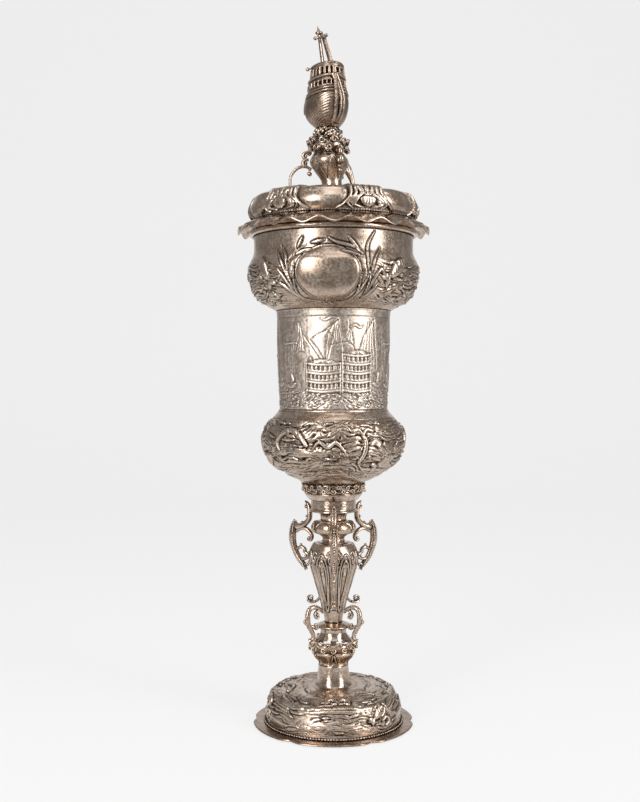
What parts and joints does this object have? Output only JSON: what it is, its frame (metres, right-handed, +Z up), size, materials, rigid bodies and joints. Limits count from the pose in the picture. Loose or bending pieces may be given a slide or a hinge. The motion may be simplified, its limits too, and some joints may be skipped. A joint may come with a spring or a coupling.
{
  "type": "standing cup",
  "caption": "Tall chased silver standing cup on a domed foot and baluster stem, with a bulged and waisted bowl and a lift-off cover that carries a ship finial.",
  "frame": {"origin": "centre of the circle that the foot's underside stands on, which is also the bottom centre of the bounding box", "axes": "+Z up along the cup's axis to the finial, -Y towards the viewer of the picture, +X to the viewer's right"},
  "size_m": [0.1648, 0.1648, 0.5966],
  "materials": {
    "baluster_vase": "polished silver with dark oxidised recesses",
    "bearing_washer": "bare steel, hidden inside the cup",
    "cover_bezel": "polished silver with dark oxidised recesses",
    "cover_dome": "polished silver with dark oxidised recesses",
    "cover_flange": "polished silver with dark oxidised recesses",
    "crow_nest": "polished silver with dark oxidised recesses",
    "drip_disc": "polished silver with dark oxidised recesses",
    "drum": "polished silver with dark oxidised recesses",
    "finial_bracket_back": "polished silver with dark oxidised recesses",
    "finial_bracket_front": "polished silver with dark oxidised recesses",
    "finial_bracket_left": "polished silver with dark oxidised recesses",
    "finial_nut": "bare steel, hidden inside the cup",
    "finial_plate": "polished silver with dark oxidised recesses",
    "finial_stud": "bare steel, hidden inside the cup",
    "finial_vase": "polished silver with dark oxidised recesses",
    "finial_washer": "bare steel, hidden inside the cup",
    "finial_wreath": "polished silver with dark oxidised recesses",
    "foot_collar": "polished silver with dark oxidised recesses",
    "foot_dome": "polished silver with dark oxidised recesses",
    "foot_flange": "polished silver with dark oxidised recesses",
    "foot_rim_wire": "polished silver with dark oxidised recesses",
    "gallery_rail": "polished silver with dark oxidised recesses",
    "knop_wreath": "polished silver with dark oxidised recesses",
    "leaf_collar": "polished silver with dark oxidised recesses",
    "lip_ring": "polished silver with dark oxidised recesses",
    "lower_bowl": "polished silver with dark oxidised recesses",
    "lower_knop": "polished silver with dark oxidised recesses",
    "lower_reel": "polished silver with dark oxidised recesses",
    "lower_scroll_back": "polished silver with dark oxidised recesses",
    "lower_scroll_left": "polished silver with dark oxidised recesses",
    "lower_scroll_right": "polished silver with dark oxidised recesses",
    "main_deck": "polished silver with dark oxidised recesses",
    "main_mast": "polished silver with dark oxidised recesses",
    "mast_spike": "polished silver with dark oxidised recesses",
    "neck_reel": "polished silver with dark oxidised recesses",
    "neck_tube": "polished silver with dark oxidised recesses",
    "poop_deck": "polished silver with dark oxidised recesses",
    "rod_nut": "bare steel, hidden inside the cup",
    "rudder": "polished silver with dark oxidised recesses",
    "scroll_bracket_front": "polished silver with dark oxidised recesses",
    "scroll_bracket_left": "polished silver with dark oxidised recesses",
    "scroll_bracket_right": "polished silver with dark oxidised recesses",
    "ship_hull": "polished silver with dark oxidised recesses",
    "side_knob": "polished silver with dark oxidised recesses",
    "socket_reel": "polished silver with dark oxidised recesses",
    "socket_ring": "polished silver with dark oxidised recesses",
    "stay_spar": "polished silver with dark oxidised recesses",
    "stern_gallery": "polished silver with dark oxidised recesses",
    "tie_rod": "bare steel, hidden inside the cup",
    "top_yard": "polished silver with dark oxidised recesses",
    "upper_bowl": "polished silver with dark oxidised recesses",
    "upper_knop": "polished silver with dark oxidised recesses",
    "vase_strap_front": "polished silver with dark oxidised recesses",
    "vase_strap_left": "polished silver with dark oxidised recesses",
    "vase_strap_right": "polished silver with dark oxidised recesses",
    "wave_mount": "polished silver with dark oxidised recesses"
  },
  "bodies": {
    "cup": {"baluster_vase": "baluster_vase", "bearing_washer": "bearing_washer", "drip_disc": "drip_disc", "drum": "drum", "foot_collar": "foot_collar", "foot_dome": "foot_dome", "foot_flange": "foot_flange", "foot_rim_wire": "foot_rim_wire", "knop_wreath": "knop_wreath", "leaf_collar": "leaf_collar", "lip_ring": "lip_ring", "lower_bowl": "lower_bowl", "lower_knop": "lower_knop", "lower_reel": "lower_reel", "lower_scroll_back": "lower_scroll_back", "lower_scroll_left": "lower_scroll_left", "lower_scroll_right": "lower_scroll_right", "neck_reel": "neck_reel", "neck_tube": "neck_tube", "rod_nut": "rod_nut", "scroll_bracket_front": "scroll_bracket_front", "scroll_bracket_left": "scroll_bracket_left", "scroll_bracket_right": "scroll_bracket_right", "socket_reel": "socket_reel", "socket_ring": "socket_ring", "tie_rod": "tie_rod", "upper_bowl": "upper_bowl", "upper_knop": "upper_knop", "vase_strap_front": "vase_strap_front", "vase_strap_left": "vase_strap_left", "vase_strap_right": "vase_strap_right"},
    "cover": {"cover_bezel": "cover_bezel", "cover_flange": "cover_flange", "cover_dome": "cover_dome", "finial_plate": "finial_plate", "finial_vase": "finial_vase", "finial_bracket_left": "finial_bracket_left", "finial_bracket_front": "finial_bracket_front", "finial_bracket_back": "finial_bracket_back", "finial_wreath": "finial_wreath", "wave_mount": "wave_mount", "ship_hull": "ship_hull", "main_deck": "main_deck", "stern_gallery": "stern_gallery", "gallery_rail": "gallery_rail", "poop_deck": "poop_deck", "side_knob": "side_knob", "rudder": "rudder", "main_mast": "main_mast", "stay_spar": "stay_spar", "top_yard": "top_yard", "crow_nest": "crow_nest", "mast_spike": "mast_spike", "finial_stud": "finial_stud", "finial_washer": "finial_washer", "finial_nut": "finial_nut"}
  },
  "joints": [
    {"name": "cover_lift", "type": "slide", "parent": "cup", "child": "cover", "axis": [0, 0, 1], "range_m": [0, 0.12]}
  ]
}
